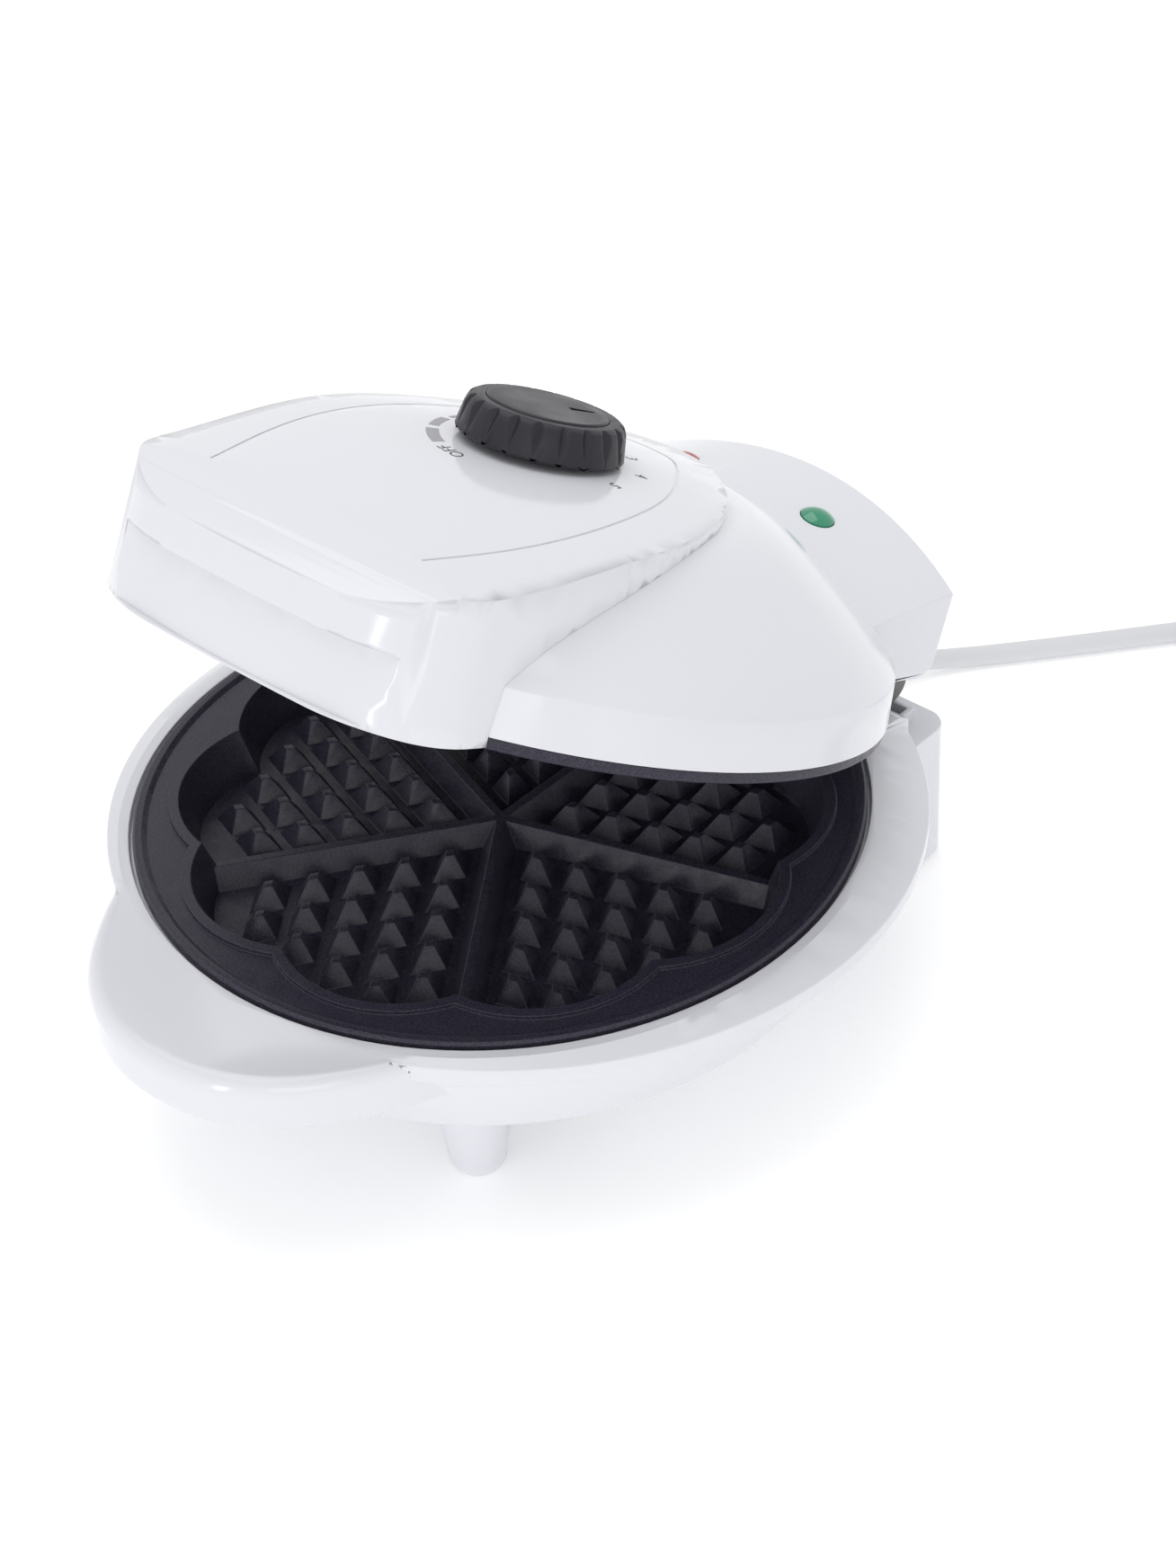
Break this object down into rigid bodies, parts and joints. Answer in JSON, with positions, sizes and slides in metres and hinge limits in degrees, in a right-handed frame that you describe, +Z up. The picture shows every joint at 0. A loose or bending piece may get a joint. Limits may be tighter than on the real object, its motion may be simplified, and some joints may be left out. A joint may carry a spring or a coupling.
{
  "type": "heart waffle maker",
  "caption": "Hinged table-top waffle iron with a rosette of heart-shaped wells in two cast plates, moulded white housings, a thermostat knob, indicator lamps and a mains lead.",
  "frame": {"origin": "on the table, under the middle of the appliance, with the lead left out", "axes": "+Z up, -Y toward the front lobe and visor, +Y toward the hinge, +X to the right when seen from the front"},
  "size_m": [0.3025, 0.4202, 0.1797],
  "materials": {
    "housing_white": "glossy white moulded plastic",
    "plate_black": "cast aluminium under a black non-stick coating with a satin grain",
    "knob_charcoal": "satin charcoal plastic",
    "inlay_charcoal": "smooth dark grey disc",
    "lens_red": "clear red lens",
    "lens_green": "clear green lens",
    "cover_grey": "light grey moulded plastic",
    "hinge_grey": "grey-brown heat-proof plastic",
    "buffer_rubber": "dark soft rubber",
    "steel_bright": "bright zinc-plated steel",
    "reflector_sheet": "bright rolled aluminium sheet",
    "element_sheath": "dull steel heater sheath",
    "thermostat_metal": "plated steel cup",
    "fuse_metal": "plated cut-out in its clip",
    "terminal_plastic": "cream moulded terminal strip",
    "bulb_glass": "small neon bulb",
    "link_sleeve": "heat-proof silicone sleeve",
    "lead_grey": "light grey flexible lead",
    "plug_grey": "light grey moulded plug",
    "pin_brass": "nickelled plug pins"
  },
  "bodies": {
    "base": {"lower_housing": "housing_white", "base_cover": "housing_white", "block_cover": "housing_white", "lower_plate": "plate_black", "front_buffers": "buffer_rubber", "rear_feet": "buffer_rubber", "hinge_pins": "steel_bright", "lower_plate_screws": "steel_bright", "cover_screws": "steel_bright", "cord_clamp": "steel_bright", "lower_reflector": "reflector_sheet", "lower_element": "element_sheath", "thermal_fuse": "fuse_metal", "terminal_block": "terminal_plastic", "base_lead": "link_sleeve", "power_cord": "lead_grey", "cord_coil": "lead_grey", "cord_tail": "lead_grey", "inner_lead": "lead_grey", "strain_relief": "lead_grey", "plug": "plug_grey", "plug_pins": "pin_brass"},
    "lid": {"upper_housing": "housing_white", "lid_cap": "housing_white", "upper_plate": "plate_black", "upper_element": "element_sheath", "upper_reflector": "reflector_sheet", "upper_plate_screws": "steel_bright", "thermostat": "thermostat_metal", "hump_cover": "cover_grey", "hinge_knuckles": "hinge_grey", "lamp_red": "lens_red", "lamp_green": "lens_green", "lamp_holder": "terminal_plastic", "indicator_bulbs": "bulb_glass", "lid_lead": "link_sleeve"},
    "knob": {"control_knob": "knob_charcoal", "knob_inlay": "inlay_charcoal", "thermostat_shaft": "steel_bright"}
  },
  "joints": [
    {"name": "lid_hinge", "type": "hinge", "parent": "base", "child": "lid", "pos_m": [0, 0.1105, 0.056], "axis": [-1, 0, 0], "range_deg": [-24.9, 75.1]},
    {"name": "knob_turn", "type": "hinge", "parent": "lid", "child": "knob", "pos_m": [0, 0.02459, 0.15927], "axis": [0, 0.421, 0.907], "range_deg": [-60, 195]}
  ]
}
